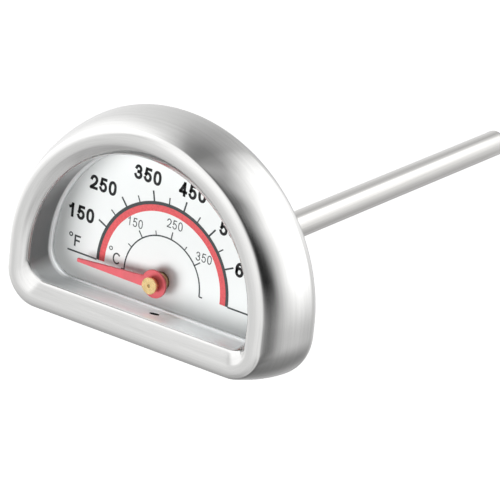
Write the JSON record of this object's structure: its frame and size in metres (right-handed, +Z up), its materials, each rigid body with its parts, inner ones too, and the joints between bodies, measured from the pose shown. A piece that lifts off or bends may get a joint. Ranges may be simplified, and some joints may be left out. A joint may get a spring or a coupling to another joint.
{
  "type": "oven thermometer",
  "caption": "Dial thermometer for an oven front: D-shaped steel case with a recessed dial and red pointer, and a long straight bimetal stem behind it.",
  "frame": {"origin": "where the stem's axis meets the plane of the case's rear hem, which rests on the oven panel", "axes": "+Y back along the stem, -Y towards the reader, +X to the reader's right, +Z up"},
  "size_m": [0.0862, 0.1702, 0.0584],
  "materials": {
    "brushed_case": "fine brushed stainless sheet",
    "polished_stem": "polished stainless tube",
    "plated_steel": "satin plated steel",
    "brass": "turned brass",
    "bimetal_strip": "dull rolled strip",
    "dial_enamel": "satin white print on aluminium",
    "red_paint": "satin red paint",
    "silicone": "matte silicone rubber"
  },
  "bodies": {
    "case": {"bezel_shell": "brushed_case", "back_plate": "plated_steel", "dial_plate": "dial_enamel", "dial_bush": "brass", "dial_post_1": "plated_steel", "dial_post_2": "plated_steel", "dial_post_3": "plated_steel", "back_screw_1": "plated_steel", "back_screw_2": "plated_steel", "back_screw_3": "plated_steel", "stem_boss": "plated_steel", "boss_gasket": "silicone", "lock_washer": "plated_steel", "lock_nut": "plated_steel", "stem_tube": "polished_stem", "spindle_guide_upper": "brass", "spindle_guide_lower": "brass", "bimetal_coil": "bimetal_strip", "coil_anchor": "plated_steel"},
    "pointer": {"pointer": "red_paint", "pointer_bush": "brass", "spindle": "plated_steel", "coil_collet": "brass"}
  },
  "joints": [
    {"name": "pointer_sweep", "type": "hinge", "parent": "case", "child": "pointer", "pos_m": [0, 0, 0], "axis": [0, 1, 0], "range_deg": [-8, 190], "stiffness_Nm_per_rad": 0.002, "deforming": ["bimetal_coil"]}
  ]
}
